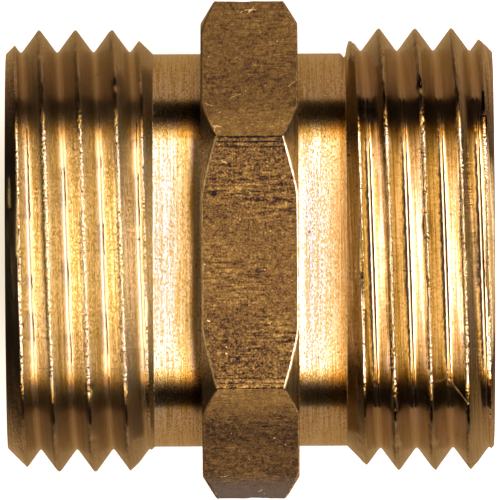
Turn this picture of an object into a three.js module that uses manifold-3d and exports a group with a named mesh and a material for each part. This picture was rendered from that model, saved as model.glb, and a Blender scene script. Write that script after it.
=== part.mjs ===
// Hose union: a one-piece brass nipple with an outside hose thread at each end.
// Millimetres, +Z up. The axis lies along X, the origin is the middle of the hexagon on the axis,
// two flats of the hexagon face up and down, and two of its corners face +Y and -Y.

import * as THREE from 'three';
import { mergeVertices } from 'three/addons/utils/BufferGeometryUtils.js';
import Module from 'manifold-3d';

const wasm = await Module();
wasm.setup();

// ---------- driving dimensions ----------

const OVERALL_LENGTH = 29.6;

// Hexagon
const HEX_WIDTH = 5.9;              // along the axis
const HEX_ACROSS_FLATS = 26.4;
const HEX_CORNER_RADIUS = 0.35;     // the drawn bar's rounded corners
const HEX_CHAMFER_START_RADIUS = 13.8;
const HEX_CHAMFER_DEPTH_PER_RADIUS = 0.61;

// Necks between the hexagon and the threads
const NECK_LENGTH = 2.9;
const NECK_RADIUS = 11.95;

// 3/4-11.5NH hose thread, right-hand, the same at both ends
const THREAD_PITCH = 25.4 / 11.5;
const THREAD_MAJOR_RADIUS = 13.45;
const THREAD_CREST_WIDTH = 0.16;
const THREAD_ROOT_WIDTH = 0.16;
const THREAD_FLANK_ANGLE = 35 * Math.PI / 180;
const END_CHAMFER_RADIUS = 12.0;    // where the 45 degree chamfer starts on each end face
const LEFT_CREST_FROM_END = 4.25;   // distance from the end face to a crest, on the +Y side
const RIGHT_CREST_FROM_END = 4.68;

// Waterway
const BORE_RADIUS = 9.25;
const BORE_CHAMFER = 0.5;

const TURN_SEGMENTS = 72;           // facets in one turn of every round surface
const CUT_MARGIN = 0.5;             // how far a cutting tool runs past the metal

// ---------- derived places ----------

const END_X = OVERALL_LENGTH / 2;
const HEX_X = HEX_WIDTH / 2;
const SHOULDER_X = HEX_X + NECK_LENGTH;
const THREAD_DEPTH = (THREAD_PITCH - THREAD_CREST_WIDTH - THREAD_ROOT_WIDTH)
  / (2 * Math.tan(THREAD_FLANK_ANGLE));
const THREAD_ROOT_RADIUS = THREAD_MAJOR_RADIUS - THREAD_DEPTH;

// ---------- geometry helpers ----------

// A closed three.js geometry as a manifold solid.
function solidOf(geometry) {
  const bare = geometry.clone();
  bare.deleteAttribute('normal');
  bare.deleteAttribute('uv');
  const merged = mergeVertices(bare, 1e-5);
  return new wasm.Manifold(new wasm.Mesh({
    numProp: 3,
    vertProperties: new Float32Array(merged.attributes.position.array),
    triVerts: new Uint32Array(merged.index.array),
  }));
}

// A manifold solid as a three.js geometry.
function geometryOf(solid) {
  const mesh = solid.getMesh();
  const geometry = new THREE.BufferGeometry();
  geometry.setAttribute('position', new THREE.BufferAttribute(mesh.vertProperties, 3));
  geometry.setIndex(new THREE.BufferAttribute(mesh.triVerts, 1));
  geometry.computeVertexNormals();
  return geometry;
}

// A profile of [x, radius] points turned about the X axis. The points run from low x to high x, seen
// with the solid below them, and the profile starts and ends on the axis.
function turned(profile) {
  const points = profile.map(([x, radius]) => new THREE.Vector2(radius, x));
  const geometry = new THREE.LatheGeometry(points, TURN_SEGMENTS);
  // LatheGeometry turns about Y from +Z; these two turns bring Y to X, and the first facet to +Y.
  geometry.rotateZ(-Math.PI / 2);
  geometry.rotateX(-Math.PI / 2);
  return solidOf(geometry);
}

// ---------- turned blank ----------

// The outside of the bar after turning: two cylinders at the thread's major diameter, with 45 degree
// chamfers at both their ends, joined by the neck diameter that runs on through the hexagon.
function turnedBlank() {
  const half = [
    [SHOULDER_X, NECK_RADIUS],
    [SHOULDER_X + THREAD_MAJOR_RADIUS - NECK_RADIUS, THREAD_MAJOR_RADIUS],
    [END_X - THREAD_MAJOR_RADIUS + END_CHAMFER_RADIUS, THREAD_MAJOR_RADIUS],
    [END_X, END_CHAMFER_RADIUS],
    [END_X, 0],
  ];
  const mirrored = half.map(([x, radius]) => [-x, radius]).reverse();
  return turned([...mirrored, ...half]);
}

// ---------- hexagon ----------

// The section of the drawn bar: corners on the shape's X axis, each rounded by an arc.
function hexagonShape() {
  const cornerReach = HEX_ACROSS_FLATS / 2 / Math.cos(Math.PI / 6);
  const arcCentreReach = cornerReach - HEX_CORNER_RADIUS / Math.cos(Math.PI / 6);
  const shape = new THREE.Shape();
  for (let corner = 0; corner < 6; corner += 1) {
    const angle = corner * Math.PI / 3;
    shape.absarc(
      arcCentreReach * Math.cos(angle),
      arcCentreReach * Math.sin(angle),
      HEX_CORNER_RADIUS,
      angle - Math.PI / 6,
      angle + Math.PI / 6,
    );
  }
  shape.closePath();
  return shape;
}

// The bar's section over the hexagon's width, with both faces chamfered on the lathe.
function hexagon() {
  const prism = new THREE.ExtrudeGeometry(hexagonShape(), {
    depth: HEX_WIDTH,
    bevelEnabled: false,
    curveSegments: 4,
  });
  prism.translate(0, 0, -HEX_X);
  // The shape's X axis becomes Y, its Y axis becomes Z, and the extrusion runs along X.
  prism.applyMatrix4(new THREE.Matrix4().makeBasis(
    new THREE.Vector3(0, 1, 0),
    new THREE.Vector3(0, 0, 1),
    new THREE.Vector3(1, 0, 0),
  ));

  const outerRadius = HEX_ACROSS_FLATS / 2 / Math.cos(Math.PI / 6) + CUT_MARGIN;
  const outerDepth = (outerRadius - HEX_CHAMFER_START_RADIUS) * HEX_CHAMFER_DEPTH_PER_RADIUS;
  const chamferEnvelope = turned([
    [-HEX_X - CUT_MARGIN, 0],
    [-HEX_X - CUT_MARGIN, HEX_CHAMFER_START_RADIUS - CUT_MARGIN / HEX_CHAMFER_DEPTH_PER_RADIUS],
    [-HEX_X + outerDepth, outerRadius],
    [HEX_X - outerDepth, outerRadius],
    [HEX_X + CUT_MARGIN, HEX_CHAMFER_START_RADIUS - CUT_MARGIN / HEX_CHAMFER_DEPTH_PER_RADIUS],
    [HEX_X + CUT_MARGIN, 0],
  ]);
  return solidOf(prism).intersect(chamferEnvelope);
}

// ---------- threads ----------

// The section of one thread groove: x along the axis, y as radius. Above the crests its sides are
// upright, so that neighbouring turns of the groove stay apart.
function grooveShape() {
  const overshoot = 0.05;
  const halfRoot = THREAD_ROOT_WIDTH / 2;
  const halfTop = halfRoot + (THREAD_DEPTH + overshoot) * Math.tan(THREAD_FLANK_ANGLE);
  return new THREE.Shape([
    new THREE.Vector2(-halfRoot, THREAD_ROOT_RADIUS),
    new THREE.Vector2(halfRoot, THREAD_ROOT_RADIUS),
    new THREE.Vector2(halfTop, THREAD_MAJOR_RADIUS + overshoot),
    new THREE.Vector2(halfTop, THREAD_MAJOR_RADIUS + CUT_MARGIN),
    new THREE.Vector2(-halfTop, THREAD_MAJOR_RADIUS + CUT_MARGIN),
    new THREE.Vector2(-halfTop, THREAD_MAJOR_RADIUS + overshoot),
  ]);
}

// The groove from fromX to toX, wrapped about the axis as a right-hand helix. The section is extruded
// straight, one unit of depth for one facet of turn, and every vertex is then moved to its place:
// the middle of the groove crosses the +Y side at crossingX.
function helicalGroove(fromX, toX, crossingX) {
  const facetPitch = THREAD_PITCH / TURN_SEGMENTS;
  const firstFacet = Math.round((fromX - crossingX) / facetPitch);
  const lastFacet = Math.round((toX - crossingX) / facetPitch);
  const facets = lastFacet - firstFacet;
  const geometry = new THREE.ExtrudeGeometry(grooveShape(), {
    depth: facets,
    steps: facets,
    bevelEnabled: false,
  });
  const position = geometry.attributes.position;
  for (let i = 0; i < position.count; i += 1) {
    const along = position.getX(i);
    const radius = position.getY(i);
    const facet = firstFacet + position.getZ(i);
    const angle = facet * 2 * Math.PI / TURN_SEGMENTS;
    position.setXYZ(
      i,
      crossingX + facet * facetPitch + along,
      radius * Math.cos(angle),
      radius * Math.sin(angle),
    );
  }
  return solidOf(geometry);
}

// One groove per end: it enters through the end face and runs out over the neck, clear of the hexagon.
function threadGrooves() {
  const halfPitch = THREAD_PITCH / 2;
  const outside = END_X + halfPitch + CUT_MARGIN;
  const overNeck = HEX_X + halfPitch + CUT_MARGIN;
  const leftCrossing = -END_X + LEFT_CREST_FROM_END + halfPitch;
  const rightCrossing = END_X - RIGHT_CREST_FROM_END + halfPitch;
  return [
    helicalGroove(-outside, -overNeck, leftCrossing),
    helicalGroove(overNeck, outside, rightCrossing),
  ];
}

// ---------- waterway ----------

function waterway() {
  const mouthRadius = BORE_RADIUS + BORE_CHAMFER + CUT_MARGIN;
  const mouthX = END_X + CUT_MARGIN;
  const chamferX = END_X - BORE_CHAMFER;
  return turned([
    [-mouthX, 0],
    [-mouthX, mouthRadius],
    [-chamferX, BORE_RADIUS],
    [chamferX, BORE_RADIUS],
    [mouthX, mouthRadius],
    [mouthX, 0],
  ]);
}

// ---------- the part ----------

function unionBody() {
  let solid = turnedBlank().add(hexagon());
  for (const groove of threadGrooves()) {
    solid = solid.subtract(groove);
  }
  solid = solid.subtract(waterway());
  const brass = new THREE.MeshStandardMaterial({ color: 0xb9863f, roughness: 0.32, metalness: 1.0 });
  const mesh = new THREE.Mesh(geometryOf(solid), brass);
  mesh.name = 'union_body';
  return mesh;
}

const union = new THREE.Group();
union.add(unionBody());

export default union;
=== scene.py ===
"""Looks of the brass hose union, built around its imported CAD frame. Blender 4.5, metres, +Z up.

The part's waterway runs along X, two flats of its hexagon face up and down, and it lies on its threads.
Shape code works in millimetres and in (x, radius) profiles round the X axis; angles start at +Y and
turn towards +Z. One closed mesh is woven from those profiles and stands for the CAD node.
"""
import math

import bpy
import numpy as np
from mathutils import Matrix, Vector


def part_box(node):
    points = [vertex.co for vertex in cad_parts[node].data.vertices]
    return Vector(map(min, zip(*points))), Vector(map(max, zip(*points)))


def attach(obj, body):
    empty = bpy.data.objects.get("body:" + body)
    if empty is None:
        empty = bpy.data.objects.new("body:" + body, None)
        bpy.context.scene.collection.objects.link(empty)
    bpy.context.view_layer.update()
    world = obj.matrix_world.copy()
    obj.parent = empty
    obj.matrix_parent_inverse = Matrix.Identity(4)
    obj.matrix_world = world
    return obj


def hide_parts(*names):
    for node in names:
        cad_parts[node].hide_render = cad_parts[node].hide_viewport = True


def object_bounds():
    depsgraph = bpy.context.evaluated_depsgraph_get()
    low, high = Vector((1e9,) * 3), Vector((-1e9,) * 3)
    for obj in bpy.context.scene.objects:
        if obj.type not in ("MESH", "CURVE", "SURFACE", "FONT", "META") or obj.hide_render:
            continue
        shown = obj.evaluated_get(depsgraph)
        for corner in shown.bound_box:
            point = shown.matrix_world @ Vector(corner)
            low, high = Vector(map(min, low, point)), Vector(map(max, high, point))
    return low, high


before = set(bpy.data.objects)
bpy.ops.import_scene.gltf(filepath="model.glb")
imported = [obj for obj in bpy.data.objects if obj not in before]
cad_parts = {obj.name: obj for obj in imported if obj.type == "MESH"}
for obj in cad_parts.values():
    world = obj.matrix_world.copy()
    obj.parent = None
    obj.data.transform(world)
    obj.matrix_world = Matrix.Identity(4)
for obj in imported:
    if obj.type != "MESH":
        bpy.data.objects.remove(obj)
CAD_LOW, CAD_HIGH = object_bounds()

MM = 0.001
BODY_NODE = "union_body"
TURN = 2 * math.pi

# ---------- sizes in millimetres, from the CAD box and the part's own dimensions ----------

HIGH_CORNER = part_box(BODY_NODE)[1] / MM
END_X = HIGH_CORNER.x
THREAD_RADIUS = HIGH_CORNER.z
HEX_CORNER_REACH = HIGH_CORNER.y

HEX_ROUNDING = 0.35
HEX_APOTHEM = (HEX_CORNER_REACH - HEX_ROUNDING) * math.cos(math.pi / 6) + HEX_ROUNDING
HEX_X = 2.95
HEX_CHAMFER_RADIUS = 13.8
HEX_CHAMFER_SLOPE = 0.61
NECK_RADIUS = THREAD_RADIUS - 1.5
SHOULDER_X = HEX_X + 2.9
END_CHAMFER_RADIUS = THREAD_RADIUS - 1.45
BORE_RADIUS = 9.25
BORE_CHAMFER = 0.5

PITCH = 25.4 / 11.5
FLANK = math.tan(math.radians(35))
CREST_WIDTH = 0.16
LEFT_CREST_X = -END_X + 4.25
RIGHT_CREST_X = END_X - 4.68

EDGE = 0.05             # how far a small broken edge reaches along each of its faces
HEX_EDGE = 0.11
NOTCH_ROOM = 0.3        # the stretch of neck beside a thread that has closer columns

# ---------- how finely the surface is divided ----------

ROWS_PER_FLAT = 57
THREAD_COLUMNS = 20     # in one pitch
COLUMN_CROWDING = 0.55  # 0 spaces them evenly; more draws them to the crests and roots
FLAT_COLUMNS = 21
NECK_COLUMNS = 7
FACE_COLUMNS = 5
BORE_COLUMNS = 9
SAME_PLACE = 0.012      # points closer than this are one point
SUPPORT = 0.06          # how near a broken edge the next column lies, so that the edge stays crisp
CHAMFER_FOOT_GAP = 0.04     # from the foot of the hexagon's chamfer to the column above it
LOW_WALL_RADII = (13.0, 12.5)   # the last columns on the hexagon's side wall


# ---------- repeatable noise ----------

def lattice_value(cell_x, cell_y, cell_z, seed):
    """A repeatable random number from -1 to 1 for each whole-number lattice point."""
    mixed = cell_x * 73856093 ^ cell_y * 19349663 ^ cell_z * 83492791 ^ (seed + 1) * 40503
    mixed = (mixed ^ (mixed >> 13)) * 1274126177
    mixed = mixed ^ (mixed >> 16)
    return (mixed & 0xFFFF) / 32767.5 - 1


def noise(points, cell, seed):
    """Smooth noise from -1 to 1 at points of shape (..., 3), with cells of the given size or sizes."""
    scaled = points / np.asarray(cell, float)
    base = np.floor(scaled).astype(np.int64)
    part = scaled - base
    part = part * part * (3 - 2 * part)
    total = np.zeros(points.shape[:-1])
    for corner in range(8):
        step = [(corner >> axis) & 1 for axis in range(3)]
        weight = 1.0
        for axis in range(3):
            weight = weight * (part[..., axis] if step[axis] else 1 - part[..., axis])
        total += weight * lattice_value(*(base[..., axis] + step[axis] for axis in range(3)), seed)
    return total


def smoothstep(value, low, high):
    """0 below low, 1 above high, and a smooth ramp between."""
    t = np.clip((value - low) / (high - low), 0, 1)
    return t * t * (3 - 2 * t)


# ---------- rows round the axis ----------

def row_angles():
    """The angle of every row. Three rows share each rounded corner of the hexagon."""
    corner_half = math.atan2(
        HEX_ROUNDING / 2,
        HEX_CORNER_REACH - HEX_ROUNDING + HEX_ROUNDING * math.cos(math.pi / 6),
    )
    flat = np.linspace(corner_half, math.pi / 3 - corner_half, ROWS_PER_FLAT)
    sector = np.concatenate([[0, corner_half / 2], flat, [math.pi / 3 - corner_half / 2]])
    return np.concatenate([sector + corner * math.pi / 3 for corner in range(6)])


ANGLES = row_angles()[:, None]
ROWS = len(ANGLES)


def hexagon_reach(angles):
    """Distance from the axis to the drawn bar's surface, with its corners rounded."""
    off_corner = (angles + math.pi / 6) % (math.pi / 3) - math.pi / 6
    on_flat = HEX_APOTHEM / np.cos(math.pi / 6 - np.abs(off_corner))
    centre = HEX_CORNER_REACH - HEX_ROUNDING
    under_root = np.maximum(HEX_ROUNDING ** 2 - (centre * np.sin(off_corner)) ** 2, 0)
    on_corner = centre * np.cos(off_corner) + np.sqrt(under_root)
    return np.minimum(on_flat, np.where(under_root > 0, on_corner, on_flat))


HEX_REACH = hexagon_reach(ANGLES)


# ---------- profile pieces: each gives x and radius arrays of shape (rows, columns) ----------

def same_all_round(points):
    """A profile that doesn't change with the angle."""
    points = np.asarray(points, float)
    return (np.repeat(points[None, :, 0], ROWS, 0), np.repeat(points[None, :, 1], ROWS, 0))


def bend(start, corner, end, steps):
    """Points on a smooth bend from start to end, with its control point at corner."""
    t = np.linspace(0, 1, steps + 1)[:, None]
    start, corner, end = (np.asarray(p, float) for p in (start, corner, end))
    return (1 - t) ** 2 * start + 2 * t * (1 - t) * corner + t ** 2 * end


def end_face():
    """The right-hand end: the broken outer edge, the sealing face and the waterway's mouth."""
    mouth = BORE_RADIUS + BORE_CHAMFER
    outer = bend(
        (END_X - EDGE, END_CHAMFER_RADIUS + EDGE),
        (END_X, END_CHAMFER_RADIUS),
        (END_X, END_CHAMFER_RADIUS - EDGE),
        3,
    )
    inner = bend((END_X, mouth + EDGE), (END_X, mouth), (END_X - EDGE, mouth - EDGE), 3)
    face_radii = np.linspace(END_CHAMFER_RADIUS - EDGE, mouth + EDGE, FACE_COLUMNS + 2)[1:-1]
    face = [(END_X, radius) for radius in face_radii]
    throat = bend(
        (END_X - BORE_CHAMFER + EDGE, BORE_RADIUS + EDGE),
        (END_X - BORE_CHAMFER, BORE_RADIUS),
        (END_X - BORE_CHAMFER - EDGE, BORE_RADIUS),
        2,
    )
    return same_all_round([*outer, *face, *inner, *throat])


def bore():
    """The waterway's wall, from the right-hand end to the left."""
    reach = END_X - BORE_CHAMFER - EDGE
    return same_all_round([(x, BORE_RADIUS) for x in np.linspace(reach, -reach, BORE_COLUMNS)])


def mirrored(section):
    """The same section at the other end of the part, in the opposite order."""
    x, radius = section
    return -x[:, ::-1], radius[:, ::-1]


def neck():
    """The right-hand neck, from the hexagon to the thread."""
    places = [
        *np.linspace(HEX_X + EDGE, SHOULDER_X - NOTCH_ROOM, NECK_COLUMNS),
        *np.linspace(SHOULDER_X - NOTCH_ROOM, SHOULDER_X, 5)[1:],
    ]
    return same_all_round([(x, NECK_RADIUS) for x in places])


def hexagon_wall():
    """The hexagon's right-hand side: the flat's edge, the chamfer, the wall and the fillet."""
    top = HEX_REACH - HEX_EDGE

    def wall_x(radius):
        over = np.maximum(radius - HEX_CHAMFER_RADIUS, 0)
        return HEX_X - HEX_CHAMFER_SLOPE * over

    t = np.linspace(0, 1, 4)[None, :]
    corner_x = wall_x(HEX_REACH)
    edge_x = (1 - t) ** 2 * (corner_x - HEX_EDGE) + 2 * t * (1 - t) * corner_x + t ** 2 * wall_x(top)
    edge_radius = (1 - t) ** 2 * HEX_REACH + 2 * t * (1 - t) * HEX_REACH + t ** 2 * top

    chamfer_foot = np.minimum(HEX_CHAMFER_RADIUS + CHAMFER_FOOT_GAP, top)
    wall_radius = np.concatenate([
        np.maximum(top - SUPPORT, chamfer_foot),
        top * 0.67 + chamfer_foot * 0.33,
        top * 0.33 + chamfer_foot * 0.67,
        chamfer_foot,
        np.minimum(HEX_CHAMFER_RADIUS, top),
        np.minimum(HEX_CHAMFER_RADIUS - SUPPORT, top),
        *(np.full((ROWS, 1), radius) for radius in LOW_WALL_RADII),
    ], axis=1)
    fillet = bend(
        (HEX_X, NECK_RADIUS + EDGE),
        (HEX_X, NECK_RADIUS),
        (HEX_X + EDGE, NECK_RADIUS),
        2,
    )[:-1]
    fillet_x, fillet_radius = same_all_round(fillet)
    return (
        np.concatenate([edge_x, wall_x(wall_radius), fillet_x], axis=1),
        np.concatenate([edge_radius, wall_radius, fillet_radius], axis=1),
    )


def hexagon_flats():
    """The drawn faces, from the left edge to the right, between the broken edges."""
    reach = HEX_X - HEX_CHAMFER_SLOPE * np.maximum(HEX_REACH - HEX_CHAMFER_RADIUS, 0) - HEX_EDGE
    across = np.linspace(-1, 1, FLAT_COLUMNS)[None, :]
    inner = reach - SUPPORT
    x = np.concatenate([-reach + SUPPORT * 0.2, inner * across, reach - SUPPORT * 0.2], axis=1)
    return x, np.repeat(HEX_REACH, x.shape[1], axis=1)


# ---------- threads ----------

# Where the tool ran out, the first tooth is cut away: its chamfer is steeper and its top lower.
FIRST_TOOTH_REACH = 0.65
CUT_TOOTH_HEIGHT = 0.61
WHOLE_TOOTH_EXTRA = 1.2
CUT_AWAY_STEEPER = 3.5


def crest_offset(x, crest_x):
    """Signed distance along the axis from the nearest crest line."""
    along = (x - crest_x) / PITCH - ANGLES / TURN
    return ((along + 0.5) % 1 - 0.5) * PITCH


def thread_form(x, crest_x):
    """Radius of the thread's surface before its chamfers, with rounded crests and roots."""
    down = np.abs(crest_offset(x, crest_x)) / FLANK
    half_turn = PITCH / 2 / FLANK
    truncation = CREST_WIDTH / 2 / FLANK
    root_truncation = 0.9 * truncation
    crest = THREAD_RADIUS + truncation - np.sqrt(down ** 2 + truncation ** 2)
    sharp_root = THREAD_RADIUS + truncation - half_turn
    root = sharp_root + np.sqrt((half_turn - down) ** 2 + root_truncation ** 2)
    share = smoothstep(down / half_turn, 0.35, 0.65)
    return crest * (1 - share) + root * share


def thread_columns():
    """Places of the columns in one pitch, from one crest to the next, closer at crests and roots."""
    t = np.arange(THREAD_COLUMNS) / THREAD_COLUMNS
    return PITCH * (t - COLUMN_CROWDING * np.sin(2 * TURN * t) / (2 * TURN))


def thread(crest_x, low_x, high_x, cut_away=0.0):
    """One thread from low_x to high_x. Its columns follow the helix, and stop at the two ends.
    cut_away, from 0 to 1 for each row, is how much of its first tooth the tool's run-out took."""
    first_turn = math.floor((low_x - crest_x) / PITCH) - 1
    last_turn = math.ceil((high_x - crest_x) / PITCH) + 1
    places = np.concatenate([
        crest_x + turn * PITCH + thread_columns() for turn in range(first_turn, last_turn)
    ])
    x = places[None, :] + PITCH * ANGLES / TURN
    x = np.where(x < low_x + SAME_PLACE, low_x, np.where(x > high_x - SAME_PLACE, high_x, x))
    outward = np.abs(x)
    chamfer = np.minimum(
        NECK_RADIUS + (outward - SHOULDER_X) * (1 + CUT_AWAY_STEEPER * cut_away),
        END_CHAMFER_RADIUS + END_X - outward,
    )
    tooth_top = NECK_RADIUS + CUT_TOOTH_HEIGHT + WHOLE_TOOTH_EXTRA * (1 - cut_away)
    in_first_tooth = outward < SHOULDER_X + FIRST_TOOTH_REACH
    chamfer = np.where(in_first_tooth, np.minimum(chamfer, tooth_top), chamfer)
    return x, np.minimum(thread_form(x, crest_x), chamfer)


# ---------- wear and hand of the tool, as small moves of the surface ----------

def surface_points(x, radius):
    """Points in space, shape (rows, columns, 3)."""
    return np.stack([x, radius * np.cos(ANGLES), radius * np.sin(ANGLES)], axis=-1)


def away_from(angle):
    """The signed angle of every row from the given angle, the short way round."""
    return (ANGLES - angle + math.pi) % TURN - math.pi


# Where the threading tool left the right-hand thread, on the +Y side: a notch at the thread's foot,
# beside a steeper shoulder.
RUN_OUT_SPREAD = 0.32       # radians
NOTCH_X = SHOULDER_X - 0.08
NOTCH_HALF_WIDTH = 0.19
NOTCH_DEPTH = 0.26

DENTS_PER_THREAD = 16
DENT_HALF_WIDTH = 0.2
DENT_END_GAP = 1.8          # how far from a thread's two ends its dents keep
WORN_HALF_WIDTH = 0.13      # about how far from a crest line its wear reaches


def run_out():
    """1 on the +Y side, falling to 0 away from it."""
    return np.exp(-(away_from(0.0) / RUN_OUT_SPREAD) ** 2)


def notched(section):
    """The section with the tool's notch cut into it."""
    x, radius = section
    depth = NOTCH_DEPTH * np.clip(1 - np.abs(x - NOTCH_X) / NOTCH_HALF_WIDTH, 0, 1)
    return x, radius - depth * run_out()


def nicked(section, crest_x, seed):
    """The thread with small dents in its crests."""
    x, radius = section
    dice = np.random.default_rng(seed)
    side = 1 if crest_x > 0 else -1
    for _ in range(DENTS_PER_THREAD):
        angle = dice.uniform(0, TURN)
        wanted_x = side * dice.uniform(SHOULDER_X + DENT_END_GAP, END_X - DENT_END_GAP)
        turn = round((wanted_x - crest_x) / PITCH - angle / TURN)
        dent_x = crest_x + PITCH * (turn + angle / TURN)
        depth, length = dice.uniform(0.05, 0.16), dice.uniform(0.2, 0.6)
        along, around = (x - dent_x) / DENT_HALF_WIDTH, THREAD_RADIUS * away_from(angle) / length
        reach = along ** 2 + around ** 2
        radius = radius - depth * np.exp(-reach)
    return x, radius


def worn_thread(section, crest_x, seed):
    """Burrs and flattened stretches along the crests, and faint chatter on the flanks."""
    x, radius = section
    points = surface_points(x, radius)
    near_crest = np.exp(-(crest_offset(x, crest_x) / WORN_HALF_WIDTH) ** 2)
    past_foot = smoothstep(SHOULDER_X + 0.25 - np.abs(x), 0, -0.2)
    before_end = smoothstep(END_X - 0.1 - np.abs(x), 0, 0.2)
    inside = past_foot * before_end
    near_crest = near_crest * inside
    burr = 0.022 * noise(points, 0.45, seed) + 0.018 * noise(points, 1.3, seed + 1)
    flattened = 0.05 * smoothstep(noise(points, (3.0, 1.6, 1.6), seed + 2), 0.35, 0.8)
    lean = 0.035 * noise(points, 0.5, seed + 3) + 0.03 * noise(points, 2.2, seed + 4)
    chatter = 0.004 * noise(points, 0.8, seed + 5) * inside
    worn = radius + near_crest * (burr - flattened) + chatter
    return x + near_crest * lean, np.minimum(worn, THREAD_RADIUS)


SKIN_ALLOWANCE = 0.012      # how much the flats are lowered before their skin is added


def rough_flats(section):
    """The drawn bar's skin: a soft unevenness, draw lines along the bar and some dents."""
    x, radius = section
    points = surface_points(x, radius)
    skin = 0.010 * noise(points, 0.5, 31) + 0.012 * noise(points, 1.7, 32)
    lines = 0.008 * noise(points, (5.0, 0.35, 0.35), 33)
    dents = 0.05 * smoothstep(noise(points, 0.9, 34), 0.55, 0.95)
    return x, radius + skin + lines - dents - SKIN_ALLOWANCE


def worn_wall(section):
    """Small nicks in the hexagon's edges."""
    x, radius = section
    points = surface_points(x, radius)
    at_edge = smoothstep(radius, HEX_CHAMFER_RADIUS - 0.9, HEX_CHAMFER_RADIUS)
    nick = 0.03 * noise(points, 0.6, 41) + 0.05 * smoothstep(noise(points, 1.1, 42), 0.45, 0.9)
    return x - np.sign(x) * at_edge * np.abs(nick) * 0.6, radius


# ---------- weaving the mesh ----------

TURNED, DRAWN, WATERWAY = range(3)
SHARP_ANGLE = math.radians(38)      # edges sharper than this aren't shaded smooth


def woven_sections():
    """(x, radius, material, columns in one pitch) of every section, round the loop of the profile."""
    left_thread = thread(LEFT_CREST_X, -END_X + EDGE, -SHOULDER_X)
    left_thread = nicked(worn_thread(left_thread, LEFT_CREST_X, 11), LEFT_CREST_X, 12)
    right_thread = thread(RIGHT_CREST_X, SHOULDER_X, END_X - EDGE, run_out())
    right_thread = nicked(worn_thread(right_thread, RIGHT_CREST_X, 21), RIGHT_CREST_X, 22)
    wall = worn_wall(hexagon_wall())
    left_wall = worn_wall(mirrored(hexagon_wall()))
    return [
        (*mirrored(end_face()), TURNED, 0),
        (*left_thread, TURNED, THREAD_COLUMNS),
        (*mirrored(neck()), TURNED, 0),
        (*left_wall, TURNED, 0),
        (*rough_flats(hexagon_flats()), DRAWN, 0),
        (*wall, TURNED, 0),
        (*notched(neck()), TURNED, 0),
        (*notched(right_thread), TURNED, THREAD_COLUMNS),
        (*end_face(), TURNED, 0),
        (*bore(), WATERWAY, 0),
    ]


def shared_numbers(points):
    """A number for every (row, column), shared by points that lie in one place with the one before,
    and which of the points are new."""
    gap = np.linalg.norm(points - np.roll(points, 1, axis=1), axis=2)
    is_new = gap > SAME_PLACE / 3
    is_new[:, 0] = True
    numbers = np.cumsum(is_new.ravel()).reshape(is_new.shape) - 1
    return numbers, is_new


def weave():
    """Vertices, faces and the material of each face of the closed body."""
    sections = woven_sections()
    x = np.concatenate([section[0] for section in sections], axis=1)
    radius = np.concatenate([section[1] for section in sections], axis=1)
    column_material = np.concatenate([
        np.full(section[0].shape[1], section[2]) for section in sections
    ])
    points = surface_points(x, radius)
    numbers, is_new = shared_numbers(points)
    vertices = points[is_new]

    columns = x.shape[1]
    after_seam = np.arange(columns)
    start = 0
    for section in sections:
        count, shift = section[0].shape[1], section[3]
        own = np.arange(count)
        after_seam[start:start + count] = start + np.minimum(own + shift, count - 1)
        start += count

    faces, materials = [], []
    for row in range(ROWS):
        here = numbers[row]
        there = numbers[row + 1] if row + 1 < ROWS else numbers[0][after_seam]
        for column in range(columns):
            after = (column + 1) % columns
            ring = [here[column], here[after], there[after], there[column]]
            face = [v for k, v in enumerate(ring) if v != ring[k - 1]]
            if len(set(face)) == len(face) and len(face) >= 3:
                faces.append(face)
                materials.append(column_material[column])
    return vertices, faces, materials


def union_body():
    """The visible body as one object, standing for the CAD node."""
    vertices, faces, materials = weave()
    mesh = bpy.data.meshes.new("union_brass")
    mesh.from_pydata((vertices * MM).tolist(), [], faces)
    mesh.polygons.foreach_set("material_index", materials)
    mesh.polygons.foreach_set("use_smooth", [True] * len(faces))
    mesh.update()
    mesh.set_sharp_from_angle(angle=SHARP_ANGLE)
    body = bpy.data.objects.new("union_brass", mesh)
    bpy.context.scene.collection.objects.link(body)
    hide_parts(BODY_NODE)
    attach(body, "root")
    return body


# ---------- node helpers ----------

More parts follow.
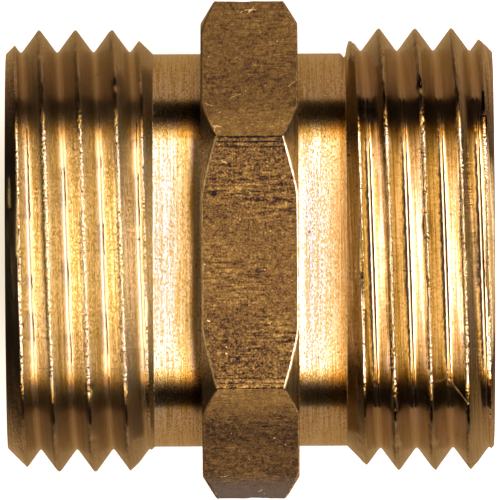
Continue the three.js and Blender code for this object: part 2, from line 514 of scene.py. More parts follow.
class Nodes:
    """Short calls that add nodes to a tree and return their outputs."""

    def __init__(self, tree):
        self.tree = tree

    def add(self, kind, inputs=None, **settings):
        node = self.tree.nodes.new(kind)
        for name, value in settings.items():
            setattr(node, name, value)
        for name, value in (inputs or {}).items():
            self.feed(node.inputs[name], value)
        return node

    def feed(self, socket, value):
        if isinstance(value, bpy.types.NodeSocket):
            self.tree.links.new(value, socket)
        else:
            socket.default_value = value

    def math(self, operation, first, second=0.0):
        node = self.add("ShaderNodeMath", {0: first, 1: second}, operation=operation)
        return node.outputs[0]

    def plus(self, first, second):
        return self.math("ADD", first, second)

    def minus(self, first, second):
        return self.math("SUBTRACT", first, second)

    def times(self, first, second):
        return self.math("MULTIPLY", first, second)

    def ramp(self, value, low, high, to_low=0.0, to_high=1.0):
        """value moved from the range low..high to the range to_low..to_high, smoothly and clamped."""
        node = self.add(
            "ShaderNodeMapRange",
            {"Value": value, "From Min": low, "From Max": high, "To Min": to_low, "To Max": to_high},
            interpolation_type="SMOOTHSTEP",
        )
        return node.outputs["Result"]

    def colours(self, value, stops):
        """A colour ramp over (place, colour) stops."""
        node = self.add("ShaderNodeValToRGB", {"Fac": value})
        elements = node.color_ramp.elements
        while len(elements) < len(stops):
            elements.new(0.5)
        for element, (place, colour) in zip(elements, stops):
            element.position = place
            element.color = (*colour, 1)
        return node.outputs["Color"]

    def mix(self, share, first, second, blend="MIX", data_type="RGBA"):
        node = self.add("ShaderNodeMix", data_type=data_type, blend_type=blend)
        sockets = {"Factor": share, "A": first, "B": second}
        for socket in node.inputs:
            if socket.enabled and socket.name in sockets:
                self.feed(socket, sockets[socket.name])
        return next(out for out in node.outputs if out.enabled)

    def mix_numbers(self, share, first, second):
        return self.mix(share, first, second, data_type="FLOAT")

    def mix_vectors(self, share, first, second):
        return self.mix(share, first, second, data_type="VECTOR")

    def noise(self, vector, scale, detail=2.0, roughness=0.5):
        node = self.add(
            "ShaderNodeTexNoise",
            {"Vector": vector, "Scale": scale, "Detail": detail, "Roughness": roughness},
        )
        return node.outputs["Fac"]

    def blend(self, weighted):
        """The sum of (value, weight) pairs."""
        total = 0.0
        for value, weight in weighted:
            total = self.add(
                "ShaderNodeMath", {0: value, 1: weight, 2: total}, operation="MULTIPLY_ADD"
            ).outputs[0]
        return total

    def combine(self, x, y, z):
        return self.add("ShaderNodeCombineXYZ", {"X": x, "Y": y, "Z": z}).outputs[0]

    def bump(self, height, distance, normal=None):
        inputs = {"Height": height, "Distance": distance, "Strength": 1.0}
        if normal is not None:
            inputs["Normal"] = normal
        return self.add("ShaderNodeBump", inputs).outputs["Normal"]


def new_material(name):
    """A material with an empty tree but for its output, and the tree's helper."""
    material = bpy.data.materials.new(name)
    material.use_nodes = True
    material.node_tree.nodes.clear()
    return material, Nodes(material.node_tree)


class Place:
    """Where a point of the body is, in millimetres: x, y, z, the distance from the axis, and so on."""

    def __init__(self, nodes):
        coordinates = nodes.add("ShaderNodeTexCoord").outputs["Object"]
        scaled = nodes.add("ShaderNodeVectorMath", {0: coordinates, "Scale": 1 / MM}, operation="SCALE")
        self.nodes = nodes
        self.point = scaled.outputs[0]
        split = nodes.add("ShaderNodeSeparateXYZ", {"Vector": self.point})
        self.x, self.y, self.z = (split.outputs[axis] for axis in "XYZ")
        square = nodes.plus(nodes.math("POWER", self.y, 2.0), nodes.math("POWER", self.z, 2.0))
        self.radius = nodes.math("SQRT", square)
        self.outward = nodes.math("ABSOLUTE", self.x)
        self.aside = nodes.math("ABSOLUTE", self.y)
        self.turns = nodes.math("DIVIDE", nodes.math("ARCTAN2", self.z, self.y), TURN)

    def from_crest(self, half_turns=0.0):
        """Signed distance along the axis from the nearest crest line, or from the nearest root line
        when half_turns is 1."""
        nodes = self.nodes
        is_right = nodes.math("GREATER_THAN", self.x, 0.0)
        crest_x = nodes.plus(LEFT_CREST_X, nodes.times(is_right, RIGHT_CREST_X - LEFT_CREST_X))
        along = nodes.math("DIVIDE", nodes.minus(self.x, crest_x), PITCH)
        along = nodes.minus(along, self.turns)
        along = nodes.plus(along, 0.5 + half_turns / 2)
        along = nodes.minus(nodes.math("FLOORED_MODULO", along, 1.0), 0.5)
        return nodes.times(along, PITCH)


def finish_brass(material, nodes, colour, roughness, anisotropy, normal, metallic=1.0, specular=0.5):
    """The metal's shader. The tangent runs round the axis, and the sheen spreads along the axis."""
    tangent = nodes.add("ShaderNodeTangent", direction_type="RADIAL", axis="X").outputs[0]
    shader = nodes.add("ShaderNodeBsdfPrincipled", {
        "Base Color": colour,
        "Metallic": metallic,
        "Specular IOR Level": specular,
        "Roughness": roughness,
        "Anisotropic": anisotropy,
        "Anisotropic Rotation": 0.25,
        "Tangent": tangent,
        "Normal": normal,
    })
    output = nodes.add("ShaderNodeOutputMaterial")
    nodes.feed(output.inputs["Surface"], shader.outputs[0])
    return material


def line_mask(nodes, distance, centre, half_width, ragged):
    """1 on a line at centre, measured by distance, and 0 off it. ragged moves the line's edges."""
    off = nodes.math("ABSOLUTE", nodes.minus(nodes.plus(distance, ragged), centre))
    return nodes.ramp(off, half_width, half_width * 1.5, 1.0, 0.0)


def cut_edges(nodes, place, from_crest, ragged):
    """1 along the edges where a chamfer cuts across a tooth of the thread, and 0 elsewhere."""
    tooth = nodes.math("DIVIDE", nodes.math("ABSOLUTE", from_crest), FLANK)
    tooth = nodes.minus(THREAD_RADIUS + CREST_WIDTH / 2 / FLANK, tooth)
    outside = nodes.times(from_crest, nodes.math("SIGN", place.x))
    end_gap = nodes.minus(nodes.plus(tooth, place.outward), END_X + END_CHAMFER_RADIUS)
    at_end = line_mask(nodes, end_gap, 0.0, 0.14, ragged)
    at_end = nodes.times(at_end, nodes.ramp(outside, 0.03, 0.0))
    foot_gap = nodes.minus(nodes.minus(tooth, place.outward), NECK_RADIUS - SHOULDER_X)
    at_foot = line_mask(nodes, foot_gap, 0.0, 0.12, ragged)
    at_foot = nodes.times(at_foot, nodes.ramp(outside, -0.03, 0.0))
    return nodes.math("MAXIMUM", at_end, at_foot)


SCRATCH_START = (12.02, -7.36)        # x and y of the one long scratch, on the upper side
SCRATCH_END = (13.2, -8.85)
SCRATCH_HALF_WIDTH = 0.02


def long_scratch(nodes, place):
    """1 on the long scratch across the last tooth of the right-hand thread, and 0 off it."""
    start, end = Vector(SCRATCH_START), Vector(SCRATCH_END)
    along = (end - start).normalized()
    across = Vector((-along.y, along.x))

    def measured(direction):
        distance = nodes.blend([(place.x, direction.x), (place.y, direction.y)])
        return nodes.minus(distance, start.dot(direction))

    on_line = line_mask(nodes, measured(across), 0.0, SCRATCH_HALF_WIDTH, 0.0)
    middle = (end - start).length / 2
    in_reach = line_mask(nodes, measured(along), middle, middle * 0.8, 0.0)
    is_upper = nodes.ramp(place.z, 0.0, 0.5)
    return nodes.times(nodes.times(on_line, in_reach), is_upper)


# Painted shade beside the hexagon's wall, then a painted highlight that whitens the neck further off
LEFT_NECK_PAINTED_LIGHT = [          # distance from the hexagon, colour
    (0.20, (0.20, 0.17, 0.20)),
    (0.35, (0.26, 0.21, 0.21)),
    (0.46, (0.38, 0.28, 0.24)),
    (0.70, (0.83, 0.67, 0.37)),
    (0.94, (0.86, 0.70, 0.34)),
    (1.19, (0.96, 0.84, 0.54)),
    (1.43, (1.00, 0.93, 0.80)),
    (1.90, (1.00, 1.04, 1.12)),
    (2.30, (1.00, 1.06, 1.15)),
    (2.60, (1.00, 1.12, 1.36)),
]
# Painted shade beside the thread's shoulder, then a painted highlight that whitens the neck further off
RIGHT_NECK_PAINTED_LIGHT = [         # distance from the thread, colour
    (0.00, (0.44, 0.32, 0.14)),
    (0.09, (0.50, 0.37, 0.165)),
    (0.33, (0.74, 0.53, 0.25)),
    (0.58, (0.87, 0.67, 0.39)),
    (0.82, (0.95, 0.80, 0.53)),
    (1.07, (1.00, 0.91, 0.74)),
    (1.40, (1.00, 1.02, 1.05)),
    (2.00, (1.00, 1.08, 1.20)),
]


NECK_TINT_REACH = 3.0       # the distance that the whole length of a tint's ramp stands for


def neck_painted_light(nodes, place):
    """Painted light on the necks: painted shade beside the hexagon on the left, where its wall keeps off
    the light from +X, and beside the thread on the right, where the thread's shoulder keeps it off;
    further off, values above 1 whiten the necks as a painted highlight."""
    def tint(gap, stops):
        share = nodes.math("DIVIDE", gap, NECK_TINT_REACH)
        return nodes.colours(share, [(distance / NECK_TINT_REACH, colour) for distance, colour in stops])

    left = tint(nodes.minus(-HEX_X, place.x), LEFT_NECK_PAINTED_LIGHT)
    right = tint(nodes.minus(SHOULDER_X, place.x), RIGHT_NECK_PAINTED_LIGHT)
    return nodes.mix(place.on_right, left, right)


ABOVE_NECK = (12.0, 12.1)           # radii where the necks end, as a ramp
CREST_ZONE = (13.0, 13.2)           # radii where the crests begin
ROOT_ZONE = (12.7, 12.5)            # radii where the roots end, going inwards
SIDE_ZONE = (8.2, 9.4)              # distances from the middle, along Y, where the sides begin
# Colour of the painted shade lines beside the crests and the roots
PAINTED_SHADE_COLOUR = (0.09, 0.05, 0.03, 1)
SCRATCH_NORMAL = (0, 0.15, 1)       # where the long scratch faces, before scaling


class TurnedPlace(Place):
    """A place on the turned brass: which surface it is on, and the lathe's marks there."""

    def __init__(self, nodes):
        super().__init__(nodes)
        self.crest_gap = self.from_crest()
        self.root_gap = self.from_crest(1.0)
        self.find_surface()
        self.add_marks()

    def find_surface(self):
        """Masks that are 1 on one surface of the body, and 0 elsewhere."""
        nodes = self.nodes
        self.on_right = nodes.ramp(self.x, -0.1, 0.1)
        self.on_sides = nodes.ramp(self.aside, *SIDE_ZONE)
        self.on_thread = nodes.ramp(self.outward, SHOULDER_X - 0.03, SHOULDER_X + 0.03)
        inside_end = nodes.ramp(self.outward, END_X - 0.02, END_X - 0.03)
        self.on_helix = nodes.times(self.on_thread, inside_end)
        above_neck = nodes.ramp(self.radius, *ABOVE_NECK)
        self.on_wall = nodes.times(nodes.ramp(self.outward, HEX_X + 0.03, HEX_X + 0.01), above_neck)
        to_chamfer = nodes.plus(self.radius, self.outward)
        chamfer_sum = END_X + END_CHAMFER_RADIUS
        self.on_chamfer = nodes.ramp(to_chamfer, chamfer_sum - 0.03, chamfer_sum - 0.015)
        self.at_crest = nodes.times(self.on_thread, nodes.ramp(self.radius, *CREST_ZONE))
        below_flank = nodes.times(self.on_thread, nodes.ramp(self.radius, *ROOT_ZONE))
        self.at_root = nodes.times(below_flank, above_neck)

    def add_marks(self):
        """Tool lines round the axis, or along the helix on a thread, and specks, pits and patches."""
        nodes = self.nodes
        track = nodes.plus(self.x, nodes.times(self.radius, 1.3))
        slow_y = nodes.times(self.y, 0.02)
        slow_z = nodes.times(self.z, 0.02)
        slow_x = nodes.plus(nodes.times(self.x, 0.15), slow_y)
        round_lines = nodes.combine(track, slow_y, slow_z)
        helix_lines = nodes.combine(self.crest_gap, slow_x, slow_z)
        tool_lines = nodes.mix_vectors(self.on_helix, round_lines, helix_lines)
        self.fine = nodes.noise(tool_lines, 9.0, 2.0, 0.75)
        self.broad = nodes.noise(tool_lines, 2.2, 2.0)
        self.patches = nodes.noise(self.point, 0.35, 3.0)
        dashes = nodes.combine(self.x, nodes.times(self.y, 0.45), nodes.times(self.z, 0.45))
        self.grain = nodes.noise(dashes, 13.0, 1.0, 0.7)
        self.grit = nodes.noise(self.point, 11.0, 1.0, 0.7)
        self.pits = nodes.noise(self.point, 2.6, 1.0)
        self.beads = nodes.noise(self.point, 9.0, 1.0, 0.6)
        self.lined = nodes.mix_numbers(
            self.on_right,
            nodes.blend([(self.fine, 0.34), (self.grain, 0.44), (self.broad, 0.22)]),
            nodes.blend([(self.fine, 0.50), (self.grain, 0.26), (self.broad, 0.24)]),
        )
        self.shine = nodes.ramp(self.lined, 0.41, 0.59)


def neck_colour(nodes, place):
    """The necks: bright and speckled, with painted shade beside the hexagon and the thread and a painted
    highlight further off, less so on the sides.
    """
    speckled = nodes.blend([(place.fine, 0.40), (place.grain, 0.50), (place.broad, 0.10)])
    colour = nodes.colours(nodes.ramp(speckled, 0.41, 0.56), [
        (0.0, (0.65, 0.41, 0.105)),
        (0.5, (0.83, 0.63, 0.30)),
        (1.0, (0.98, 0.87, 0.72)),
    ])
    # How much of the painted shade and highlight the necks get: less on their sides
    tinted = nodes.ramp(place.aside, 8.8, 10.0, 1.0, 0.15)
    return nodes.mix(tinted, colour, neck_painted_light(nodes, place), "MULTIPLY")


def flank_colour(nodes, place):
    """The threads' flanks: more even on the sides, with a painted bluer tint of the light there, and
    darker away from the top, in patches, on the left-hand thread.
    """
    shine = nodes.mix_numbers(nodes.times(place.on_sides, 0.6), place.shine, 0.5)
    colour = nodes.colours(shine, [
        (0.0, (0.49, 0.355, 0.11)),
        (0.5, (0.73, 0.57, 0.22)),
        (1.0, (0.94, 0.79, 0.61)),
    ])
    colour = nodes.mix(place.on_right, colour, (0.80, 0.775, 0.92, 1), "MULTIPLY")
    # Painted colour of the light on the sides of the threads: bluer there
    side_light_tint = nodes.mix(place.on_right, (0.94, 0.97, 1.45, 1), (1.02, 1.07, 1.42, 1))
    colour = nodes.mix(place.on_sides, colour, side_light_tint, "MULTIPLY")
    # Darker away from the top, in patches, on the left-hand thread
    darkening = nodes.blend([
        (nodes.ramp(place.z, 12.7, 11.5), 0.66),
        (nodes.ramp(place.z, 9.2, 7.8), 0.34),
    ])
    darkening = nodes.times(darkening, nodes.ramp(place.patches, 0.30, 0.50, 0.7, 1.0))
    darkening = nodes.times(darkening, nodes.minus(1.0, place.on_right))
    return nodes.mix(darkening, colour, (0.76, 0.745, 0.76, 1), "MULTIPLY")


def wall_colour(nodes, place):
    """The hexagon's side walls: the left one painted darker as shade, and edges rubbed bright, with a
    painted highlight making them brighter on the right.
    """
    right_wall = nodes.mix(place.shine, (0.20, 0.13, 0.05, 1), (0.46, 0.33, 0.16, 1))
    # Painted shade: the left wall is darker, as the light comes from +X
    left_wall = nodes.mix(1.0, right_wall, (0.6, 0.6, 0.7, 1), "MULTIPLY")
    colour = nodes.mix(place.on_right, left_wall, right_wall)
    over = nodes.math("MAXIMUM", nodes.minus(place.radius, HEX_CHAMFER_RADIUS), 0.0)
    inside_wall = nodes.plus(place.outward, nodes.times(over, HEX_CHAMFER_SLOPE))
    rubbed_edge_and_highlight = nodes.ramp(inside_wall, HEX_X - 0.015, HEX_X - 0.045)
    rubbed_edge_and_highlight = nodes.times(rubbed_edge_and_highlight, nodes.ramp(place.pits, 0.40, 0.58, 0.3, 1.0))
    # Rubbed edges are wear; the right side's are painted brighter as a highlight
    rubbed_edge_and_highlight = nodes.times(rubbed_edge_and_highlight, nodes.ramp(place.on_right, 0.0, 1.0, 0.18, 1.0))
    return nodes.mix(rubbed_edge_and_highlight, colour, (0.95, 0.78, 0.52, 1))


def thread_lines(nodes, place, colour):
    """The colour with the threads' lines drawn in, and a mask of the rows of beads. Crests are a row
    of bright beads with dark gaps, and a painted burr shadow runs beside some of them. Roots carry a
    painted highlight line with a thin line of painted shade beside it."""
    slow_ragged = nodes.times(nodes.minus(place.pits, 0.5), 0.13)
    ragged = nodes.plus(nodes.times(nodes.minus(place.grit, 0.5), 0.48), slow_ragged)
    crest = nodes.times(line_mask(nodes, place.crest_gap, 0.0, 0.055, ragged), place.at_crest)
    # Painted shadow of the burr, beside some crests
    burr_shadow = nodes.times(line_mask(nodes, place.crest_gap, -0.16, 0.03, ragged), place.at_crest)
    burr_shadow = nodes.times(burr_shadow, nodes.ramp(place.patches, 0.42, 0.50))
    # A painted highlight along each root, and a thin line of painted shade beside it
    root = nodes.times(line_mask(nodes, place.root_gap, 0.0, 0.16, slow_ragged), place.at_root)
    step = nodes.times(line_mask(nodes, place.root_gap, 0.11, 0.03, slow_ragged), place.at_root)
    some_root_shade = nodes.ramp(place.patches, 0.48, 0.55)
    step = nodes.times(step, nodes.math("MAXIMUM", place.on_right, some_root_shade))
    # Lower down its sides the painted root highlight and its painted shade fade, and the beads show less
    # there.
    root = nodes.times(root, nodes.ramp(place.on_sides, 0.0, 1.0, 1.0, 0.4))
    step = nodes.times(step, nodes.ramp(place.on_sides, 0.0, 1.0, 1.0, 0.1))
    bead_colour = nodes.colours(place.beads, [
        (0.41, (0.10, 0.055, 0.022)),
        (0.47, (0.75, 0.500, 0.190)),
        (0.54, (1.0, 0.82, 0.54)),
    ])
    beaded = nodes.math("MAXIMUM", crest, cut_edges(nodes, place, place.crest_gap, ragged))
    beaded = nodes.times(beaded, place.on_helix)
    beaded = nodes.times(beaded, nodes.ramp(place.aside, 9.4, 10.4, 1.0, 0.25))
    colour = nodes.mix(root, colour, (0.98, 0.82, 0.58, 1))
    colour = nodes.mix(beaded, colour, bead_colour)
    colour = nodes.mix(nodes.math("MAXIMUM", burr_shadow, step), colour, PAINTED_SHADE_COLOUR)
    return colour, beaded


def turned_normal(nodes, place, beaded):
    """Bumps of the tool lines and the grain, beads that catch the light, and the long scratch."""
    height = nodes.plus(nodes.times(place.fine, 0.7), nodes.times(place.broad, 1.2))
    normal = nodes.bump(height, 0.006 * MM)
    normal = nodes.bump(place.grain, 0.0015 * MM, normal)
    # The beads are burrs: they face straight out from the axis, whichever flank they sit on.
    from_axis = nodes.combine(0.0, place.y, place.z)
    outwards = nodes.add("ShaderNodeVectorMath", {0: from_axis}, operation="NORMALIZE").outputs[0]
    on_bead = nodes.times(beaded, nodes.ramp(place.beads, 0.44, 0.52, 0.0, 0.85))
    normal = nodes.mix_vectors(on_bead, normal, outwards)
    scratch = nodes.times(long_scratch(nodes, place), 0.45)
    normal = nodes.mix_vectors(scratch, normal, SCRATCH_NORMAL)
    return nodes.add("ShaderNodeVectorMath", {0: normal}, operation="NORMALIZE").outputs[0]


def turned_brass():
    """Bright brass off the lathe: fine tool lines round the axis, specks, dull flanks on the threads
    and ragged lines along their crests and roots."""
    material, nodes = new_material("turned_brass")
    place = TurnedPlace(nodes)
    chamfer_colour = nodes.mix(place.shine, (0.42, 0.29, 0.16, 1), (0.87, 0.73, 0.58, 1))
    colour = nodes.mix(place.on_thread, neck_colour(nodes, place), flank_colour(nodes, place))
    colour = nodes.mix(place.on_wall, colour, wall_colour(nodes, place))
    colour = nodes.mix(place.on_chamfer, colour, chamfer_colour)
    colour, beaded = thread_lines(nodes, place, colour)
    colour = nodes.mix(nodes.ramp(place.pits, 0.74, 0.78, 0.0, 0.85), colour, (0.12, 0.07, 0.035, 1))

    flank_roughness = nodes.ramp(place.on_right, 0.0, 1.0, 0.25, 0.125)
    roughness = nodes.ramp(place.on_thread, 0.0, 1.0, 0.26, flank_roughness)
    roughness = nodes.plus(roughness, nodes.ramp(place.lined, 0.38, 0.62, 0.02, -0.02))
    roughness = nodes.minus(roughness, nodes.times(place.on_chamfer, 0.12))
    return finish_brass(material, nodes, colour, roughness, 1.0, turned_normal(nodes, place, beaded))


DRAW_LINE_GAP = 0.3     # between the draw lines that run beside the hexagon's corners
MEAN_MOTTLE = 0.505


def skin_grain(nodes, place):
    """The grain of the skin, its coarse part, and the mottle that both make with faint draw lines."""
    skin_point = nodes.combine(place.x, place.y, nodes.times(place.z, 0.35))
    grain = nodes.noise(skin_point, 8.0, 2.0, 0.75)
    coarse = nodes.noise(skin_point, 3.0, 2.0, 0.7)
    patches = nodes.noise(place.point, 0.5, 2.0)
    line_point = nodes.combine(place.x, nodes.times(place.y, 7.0), nodes.times(place.z, 7.0))
    lines = nodes.noise(line_point, 1.1, 2.0)
    line_share = nodes.ramp(nodes.noise(place.point, 0.35, 1.0), 0.45, 0.62, 0.08, 0.50)
    line_depth = nodes.times(nodes.minus(lines, 0.5), line_share)
    mottle = nodes.blend([(grain, 0.62), (coarse, 0.38), (line_depth, 1.0)])
    mottle = nodes.plus(mottle, nodes.times(nodes.minus(patches, 0.5), 0.12))
    return grain, coarse, mottle


def corner_draw_lines(nodes, place, corner_gap, coarse):
    """How dark the draw lines beside the corners of a level flat are."""
    wave = nodes.blend([
        (corner_gap, TURN / DRAW_LINE_GAP),
        (nodes.minus(coarse, 0.5), 3.0),
    ])
    draw_lines = nodes.ramp(nodes.math("COSINE", wave), 0.1, 0.8)
    draw_lines = nodes.times(draw_lines, nodes.ramp(corner_gap, 0.2, 1.3, 0.17, 0.0))
    dash_point = nodes.combine(place.x, nodes.times(place.y, 4.0), place.z)
    dashes = nodes.noise(dash_point, 1.6, 1.0)
    return nodes.times(draw_lines, nodes.ramp(dashes, 0.38, 0.52, 0.35, 1.0))


def curved_scratches(nodes, place, grain):
    """1 on a few bright specks and thin curved scratches, and 0 elsewhere."""
    spots = nodes.ramp(nodes.noise(place.point, 3.6, 1.0), 0.78, 0.80)
    curl = nodes.noise(place.point, 0.55, 0.0)
    scratch = line_mask(nodes, curl, 0.5, 0.004, 0.0)
    some_places = nodes.ramp(nodes.noise(place.point, 0.8, 0.0), 0.69, 0.73)
    scratch = nodes.times(scratch, some_places)
    scratch = nodes.times(scratch, nodes.ramp(grain, 0.40, 0.55, 0.2, 0.9))
    return nodes.math("MAXIMUM", spots, scratch)


def drawn_brass():
    """The dull brown skin of drawn bar: mottled, with draw lines along the bar and dark specks. The
    grain is stronger on the level flats than on the sloping ones. The level flats are lighter in the
    middle and beside their corners on the -Y side, and the sloping flats have a darker band on the
    -Y side."""
    material, nodes = new_material("drawn_brass")
    place = Place(nodes)
    grain, coarse, mottle = skin_grain(nodes, place)
    aside = place.aside
    corner_gap = nodes.minus(HEX_CORNER_REACH / 2, aside)
    height = nodes.math("ABSOLUTE", place.z)
    on_level_flat = nodes.ramp(height, HEX_APOTHEM - 0.16, HEX_APOTHEM - 0.08)
    on_low_side = nodes.ramp(place.y, 0.1, -0.1)
    on_high_side = nodes.minus(1.0, on_low_side)

    contrast = nodes.mix_numbers(on_level_flat, 0.6, nodes.ramp(aside, 2.0, 6.0, 0.82, 1.1))
    mottle = nodes.times(nodes.minus(mottle, MEAN_MOTTLE), contrast)
    mottle = nodes.plus(mottle, MEAN_MOTTLE)
    level_shade = nodes.blend([
        (nodes.ramp(aside, 1.0, 4.0, 1.0, 0.0), 0.025),
        (nodes.times(nodes.ramp(corner_gap, 0.4, 1.1, 1.0, 0.0), on_low_side), 0.065),
    ])
    # A darker band along the sloping flats on the -Y side
    darkening = nodes.times(nodes.ramp(aside, 9.2, 10.6), nodes.ramp(aside, 12.2, 10.8, 0.45, 1.0))
    slope_shade = nodes.blend([
        (nodes.ramp(aside, 9.6, 8.4), 0.055),
        (nodes.times(nodes.ramp(aside, 11.0, 12.0), on_high_side), 0.01),
        (nodes.times(darkening, on_low_side), -0.05),
    ])
    mottle = nodes.plus(mottle, nodes.mix_numbers(on_level_flat, slope_shade, level_shade))
    draw_lines = corner_draw_lines(nodes, place, corner_gap, coarse)
    mottle = nodes.minus(mottle, nodes.times(draw_lines, on_level_flat))
    colour = nodes.colours(mottle, [
        (0.37, (0.010, 0.006, 0.004)),
        (0.44, (0.052, 0.026, 0.009)),
        (0.50, (0.130, 0.069, 0.0185)),
        (0.59, (0.229, 0.132, 0.033)),
        (0.68, (0.46, 0.300, 0.075)),
    ])
    grey = nodes.times(nodes.ramp(aside, 13.2, 14.7, 0.0, 0.8), on_low_side)
    colour = nodes.mix(grey, colour, (0.105, 0.088, 0.072, 1))
    colour = nodes.mix(curved_scratches(nodes, place, grain), colour, (0.82, 0.60, 0.27, 1))
    roughness = nodes.ramp(mottle, 0.3, 0.7, 0.55, 0.36)
    normal = nodes.bump(mottle, 0.03 * MM)
    return finish_brass(material, nodes, colour, roughness, 0.0, normal, metallic=0.3, specular=0.12)


def waterway_brass():
    """The drilled waterway: brass with coarser tool lines and less shine."""
    material, nodes = new_material("waterway_brass")
    place = Place(nodes)
    slow_y = nodes.times(place.y, 0.02)
    slow_z = nodes.times(place.z, 0.02)
    lines = nodes.noise(nodes.combine(place.x, slow_y, slow_z), 4.0, 3.0)
    patches = nodes.noise(place.point, 0.4, 3.0)
    shade = nodes.blend([(lines, 0.65), (patches, 0.35)])
    colour = nodes.mix(nodes.ramp(shade, 0.40, 0.62), (0.86, 0.66, 0.35, 1), (0.60, 0.41, 0.17, 1))
    roughness = nodes.ramp(lines, 0.3, 0.7, 0.24, 0.4)
    return finish_brass(material, nodes, colour, roughness, 0.8, nodes.bump(lines, 0.02 * MM))


# ---------- studio ----------

PALE = (1.0, 1.0, 1.0, 1)
LIGHT_REACH = 4.0       # the slope at which the ceiling's brightness stops changing
AMBER = (1.0, 0.80, 0.38)
GOLD = (1.0, 0.78, 0.29)
STRIP = (1.0, 0.91, 1.27)
SIDE_LIGHT = (1.5, 1.23, 0.80, 1)
FAR_TABLE = (0.39, 0.255, 0.150, 1)
NEAR_TABLE = (0.40, 0.250, 0.110, 1)
CEILING_LIGHT = [       # slope x/z from the vertical, brightness, colour
    (-4.0, 0.03, AMBER),
    (-1.8, 0.35, AMBER),
    (-1.2, 1.60, AMBER),
    (-0.75, 3.00, AMBER),
    (-0.50, 0.50, AMBER),
    (-0.25, 0.08, AMBER),
    (0.28, 0.10, AMBER),
    (0.34, 4.00, GOLD),
    (0.42, 8.80, STRIP),
    (0.62, 8.80, STRIP),
    (0.82, 3.20, GOLD),
    (1.10, 1.50, AMBER),
    (1.80, 0.50, AMBER),
    (4.0, 0.10, AMBER),
]


def studio_world():
    """What the metal mirrors: a long soft light above, a little to the +X side, a fainter one on the
    -X side, a low light at +X, a dark gap at the horizon and a dim table below. The camera sees a
    pale ground in place of all this."""
    world = bpy.data.worlds.new("studio")
    bpy.context.scene.world = world
    world.use_nodes = True
    world.node_tree.nodes.clear()
    nodes = Nodes(world.node_tree)
    direction = nodes.add("ShaderNodeTexCoord").outputs["Generated"]
    split = nodes.add("ShaderNodeSeparateXYZ", {"Vector": direction})
    x, y, z = (split.outputs[axis] for axis in "XYZ")
    aside = nodes.math("ABSOLUTE", y)

    # The ceiling is a plane of lights: its brightness depends on the slope x/z, and fades along Y.
    slope = nodes.math("DIVIDE", x, nodes.math("MAXIMUM", z, 0.01))
    slope_share = nodes.plus(nodes.math("DIVIDE", slope, 2 * LIGHT_REACH), 0.5)
    across = nodes.colours(slope_share, [
        (0.5 + at / (2 * LIGHT_REACH), tuple(brightness * part for part in colour))
        for at, brightness, colour in CEILING_LIGHT
    ])
    rise = nodes.math("DIVIDE", z, nodes.math("MAXIMUM", aside, 0.01))
    fade = nodes.colours(rise, [
        (0.05, (0.0008, 0.0011, 0.0034)),
        (0.10, (0.045, 0.035, 0.038)),
        (0.15, (0.18, 0.120, 0.062)),
        (0.20, (0.48, 0.335, 0.115)),
        (0.26, (0.84, 0.650, 0.25)),
        (0.31, (0.95, 0.860, 0.55)),
        (0.36, (1.0, 1.0, 1.0)),
    ])
    ceiling = nodes.mix(1.0, fade, across, "MULTIPLY")

    side = nodes.times(nodes.ramp(x, 0.72, 0.95), nodes.ramp(z, -0.35, -0.05))
    around = nodes.mix(side, ceiling, SIDE_LIGHT)
    left_loss = nodes.math("MAXIMUM", nodes.times(x, -1.1), nodes.times(x, 0.35))
    table_light = nodes.math("MAXIMUM", nodes.minus(1.0, left_loss), 0.02)
    depth = nodes.math("MAXIMUM", nodes.times(z, -1.0), 0.05)
    table_slope = nodes.math("DIVIDE", nodes.math("ABSOLUTE", x), depth)
    table_light = nodes.times(table_light, nodes.ramp(table_slope, 0.3, 1.6, 1.3, 0.5))
    table_colour = nodes.mix(nodes.ramp(z, -0.3, -0.9), FAR_TABLE, NEAR_TABLE)
    table = nodes.mix(table_light, (0, 0, 0, 1), table_colour)
    around = nodes.mix(nodes.ramp(z, -0.235, -0.21, 1.0, 0.0), around, table)
    lit = nodes.add("ShaderNodeBackground", {"Color": around, "Strength": 1.0})
    pale = nodes.add("ShaderNodeBackground", {"Color": PALE, "Strength": 1.0})
    camera_ray = nodes.add("ShaderNodeLightPath").outputs["Is Camera Ray"]
    both = nodes.add("ShaderNodeMixShader", {0: camera_ray, 1: lit.outputs[0], 2: pale.outputs[0]})
    output = nodes.add("ShaderNodeOutputWorld")
    nodes.feed(output.inputs["Surface"], both.outputs[0])


FLOOR_REACH = 3.0           # metres, from the middle to each edge of the floor


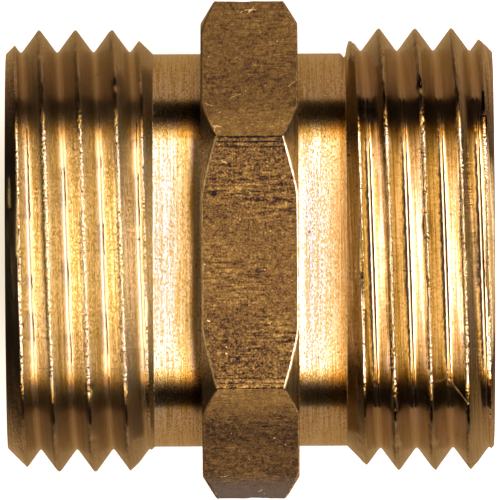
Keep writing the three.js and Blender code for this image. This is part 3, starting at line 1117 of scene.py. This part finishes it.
def studio_floor():
    """A plain pale floor under the lowest point. The metal mirrors the world's dim table instead."""
    corners = [(x * FLOOR_REACH, y * FLOOR_REACH, 0) for x, y in ((-1, -1), (1, -1), (1, 1), (-1, 1))]
    mesh = bpy.data.meshes.new("floor")
    mesh.from_pydata(corners, [], [(0, 1, 2, 3)])
    floor = bpy.data.objects.new("floor", mesh)
    floor.location.z = CAD_LOW.z
    bpy.context.scene.collection.objects.link(floor)
    material, nodes = new_material("floor_paper")
    shader = nodes.add("ShaderNodeBsdfPrincipled", {
        "Base Color": (0.82, 0.82, 0.82, 1),
        "Roughness": 0.9,
        "Emission Color": PALE,
        "Emission Strength": 0.45,
    })
    output = nodes.add("ShaderNodeOutputMaterial")
    nodes.feed(output.inputs["Surface"], shader.outputs[0])
    mesh.materials.append(material)
    floor.visible_glossy = False


CAMERA_LENS = 1500.0        # a very long lens, so that lines along the part stay straight
CAMERA_SENSOR = 36.0
FRAME_WIDTH = 30.45 * MM    # what the picture spans at the part's axis
CAMERA_TILT = math.radians(3.3)
CAMERA_ROLL = math.radians(0.3)


def studio_camera():
    """The camera looks straight down on the part, tilted and rolled by a few degrees."""
    data = bpy.data.cameras.new("camera")
    data.sensor_width = CAMERA_SENSOR
    data.lens = CAMERA_LENS
    data.clip_start = 0.1
    data.clip_end = 10.0
    camera = bpy.data.objects.new("camera", data)
    bpy.context.scene.collection.objects.link(camera)
    bpy.context.scene.camera = camera

    back = Vector((0, math.sin(CAMERA_TILT), math.cos(CAMERA_TILT)))
    level_up = Vector((0, math.cos(CAMERA_TILT), -math.sin(CAMERA_TILT)))
    level_right = Vector((1, 0, 0))
    up = level_up * math.cos(CAMERA_ROLL) + level_right * math.sin(CAMERA_ROLL)
    right = up.cross(back)
    centre = (CAD_LOW + CAD_HIGH) / 2
    position = centre + back * (FRAME_WIDTH / CAMERA_SENSOR * CAMERA_LENS)
    camera.matrix_world = Matrix((
        (right.x, up.x, back.x, position.x),
        (right.y, up.y, back.y, position.y),
        (right.z, up.z, back.z, position.z),
        (0, 0, 0, 1),
    ))


# ---------- the scene ----------

body = union_body()
for build in (turned_brass, drawn_brass, waterway_brass):
    body.data.materials.append(build())
studio_world()
studio_floor()
studio_camera()
bpy.context.scene.view_settings.view_transform = "Standard"
